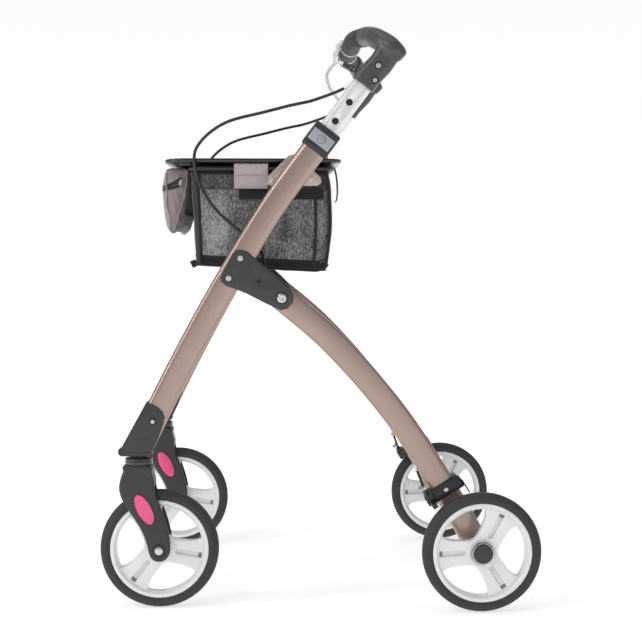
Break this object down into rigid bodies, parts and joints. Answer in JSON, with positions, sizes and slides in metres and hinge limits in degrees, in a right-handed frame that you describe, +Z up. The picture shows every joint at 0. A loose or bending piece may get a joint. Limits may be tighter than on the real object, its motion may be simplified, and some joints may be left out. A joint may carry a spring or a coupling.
{
  "type": "rollator walker",
  "caption": "Folding indoor rollator with bowed side frames, swivel front wheels, braked rear wheels, a height-adjustable push bar, a tray and a hanging mesh bag.",
  "frame": {"origin": "middle of the bounding box at floor level, under the four wheels", "axes": "+Z up from the floor to the push bar, -Y forward in the direction of travel, +X to the walker's left side"},
  "size_m": [0.562, 0.666, 0.8895],
  "materials": {
    "champagne_aluminium": "satin champagne anodised",
    "silver_aluminium": "clear anodised",
    "zinc_steel": "zinc plated",
    "dark_grey_plastic": "fine texture",
    "black_plastic": "satin",
    "black_wire": "powder coat",
    "grip_foam": "closed-cell foam",
    "tyre_rubber": "matt",
    "rim_plastic": "silver-white moulded",
    "pink_reflector": "moulded reflector",
    "grey_plastic": "smooth",
    "cable_sheath": "black sheath",
    "silver_cable": "grey sheath",
    "bag_mesh": "woven mesh",
    "taupe_fabric": "plain weave polyester"
  },
  "bodies": {
    "frame": {"front_tube_l": "champagne_aluminium", "front_tube_r": "champagne_aluminium", "joint_plate_outer_l": "dark_grey_plastic", "joint_plate_outer_r": "dark_grey_plastic", "joint_plate_inner_l": "dark_grey_plastic", "joint_plate_inner_r": "dark_grey_plastic", "caster_housing_l": "dark_grey_plastic", "caster_housing_r": "dark_grey_plastic", "height_clamp_l": "dark_grey_plastic", "height_clamp_r": "dark_grey_plastic", "basket_plate_l": "champagne_aluminium", "basket_plate_r": "champagne_aluminium", "front_cross_tube": "champagne_aluminium", "basket_frame": "black_wire", "mesh_bag": "bag_mesh", "front_pocket": "taupe_fabric"},
    "handle": {"handle_tube_l": "silver_aluminium", "handle_tube_r": "silver_aluminium", "handle_elbow_l": "dark_grey_plastic", "handle_elbow_r": "dark_grey_plastic", "lever_bracket_l": "silver_aluminium", "lever_bracket_r": "silver_aluminium", "brake_cable_l": "cable_sheath", "brake_cable_r": "cable_sheath", "handle_bar": "silver_aluminium", "grip_foam": "grip_foam", "link_cable": "silver_cable"},
    "lever": {"brake_lever": "silver_aluminium"},
    "rear_frame": {"rear_leg_l": "champagne_aluminium", "rear_leg_r": "champagne_aluminium", "pivot_bolt_l": "zinc_steel", "pivot_bolt_r": "zinc_steel", "brake_clamp_l": "black_plastic", "brake_clamp_r": "black_plastic", "rear_axle_l": "zinc_steel", "rear_axle_r": "zinc_steel", "lower_cable_l": "cable_sheath", "lower_cable_r": "cable_sheath", "rear_cross_tube": "champagne_aluminium"},
    "tray": {"tray": "black_plastic"},
    "button_l": {"clamp_button_l": "grey_plastic"},
    "caster_l": {"fork_l": "dark_grey_plastic", "caster_stem_l": "zinc_steel", "reflector_l": "pink_reflector", "front_axle_l": "zinc_steel"},
    "front_wheel_l": {"front_rim_l": "rim_plastic", "front_tyre_l": "tyre_rubber"},
    "rear_wheel_l": {"rear_rim_l": "rim_plastic", "rear_tyre_l": "tyre_rubber"},
    "shoe_l": {"brake_shoe_l": "black_plastic"},
    "button_r": {"clamp_button_r": "grey_plastic"},
    "caster_r": {"fork_r": "dark_grey_plastic", "caster_stem_r": "zinc_steel", "reflector_r": "pink_reflector", "front_axle_r": "zinc_steel"},
    "front_wheel_r": {"front_rim_r": "rim_plastic", "front_tyre_r": "tyre_rubber"},
    "rear_wheel_r": {"rear_rim_r": "rim_plastic", "rear_tyre_r": "tyre_rubber"},
    "shoe_r": {"brake_shoe_r": "black_plastic"}
  },
  "joints": [
    {"name": "handle_height", "type": "slide", "parent": "frame", "child": "handle", "axis": [0, 0.602, 0.7985], "range_m": [-0.036, 0.072], "deforming": ["brake_cable_l", "brake_cable_r"]},
    {"name": "brake_lever_squeeze", "type": "hinge", "parent": "handle", "child": "lever", "pos_m": [0, 0.0375, 0.873], "axis": [1, 0, 0], "range_deg": [0, 25], "stiffness_Nm_per_rad": 0.6, "springref_deg": -14.32},
    {"name": "rear_frame_fold", "type": "hinge", "parent": "frame", "child": "rear_frame", "pos_m": [0, -0.057, 0.471], "axis": [-1, 0, 0], "range_deg": [0, 46]},
    {"name": "tray_lift", "type": "slide", "parent": "frame", "child": "tray", "axis": [0, 0, 1], "range_m": [0, 0.08]},
    {"name": "clamp_button_push_l", "type": "slide", "parent": "frame", "child": "button_l", "axis": [-1, 0, 0], "range_m": [0, 0.003], "stiffness_N_per_m": 300, "springref_m": -0.003},
    {"name": "caster_swivel_l", "type": "hinge", "parent": "frame", "child": "caster_l", "pos_m": [0.22, -0.274, 0.2185], "axis": [0, 0, 1], "continuous": true},
    {"name": "front_wheel_spin_l", "type": "hinge", "parent": "caster_l", "child": "front_wheel_l", "pos_m": [0.218, -0.243, 0.09], "axis": [1, 0, 0], "continuous": true},
    {"name": "rear_wheel_spin_l", "type": "hinge", "parent": "rear_frame", "child": "rear_wheel_l", "pos_m": [0.264, 0.243, 0.09], "axis": [1, 0, 0], "continuous": true},
    {"name": "brake_shoe_l", "type": "slide", "parent": "rear_frame", "child": "shoe_l", "axis": [0, 0.5269, -0.8499], "range_m": [0, 0.0035]},
    {"name": "clamp_button_push_r", "type": "slide", "parent": "frame", "child": "button_r", "axis": [1, 0, 0], "range_m": [0, 0.003], "stiffness_N_per_m": 300, "springref_m": -0.003},
    {"name": "caster_swivel_r", "type": "hinge", "parent": "frame", "child": "caster_r", "pos_m": [-0.22, -0.274, 0.2185], "axis": [0, 0, 1], "continuous": true},
    {"name": "front_wheel_spin_r", "type": "hinge", "parent": "caster_r", "child": "front_wheel_r", "pos_m": [-0.218, -0.243, 0.09], "axis": [1, 0, 0], "continuous": true},
    {"name": "rear_wheel_spin_r", "type": "hinge", "parent": "rear_frame", "child": "rear_wheel_r", "pos_m": [-0.264, 0.243, 0.09], "axis": [1, 0, 0], "continuous": true},
    {"name": "brake_shoe_r", "type": "slide", "parent": "rear_frame", "child": "shoe_r", "axis": [0, 0.5269, -0.8499], "range_m": [0, 0.0035]}
  ],
  "couplings": [
    {"joint": "brake_shoe_l", "follows": "brake_lever_squeeze", "m_per_rad": 0.0077922},
    {"joint": "brake_shoe_r", "follows": "brake_lever_squeeze", "m_per_rad": 0.0077922}
  ]
}
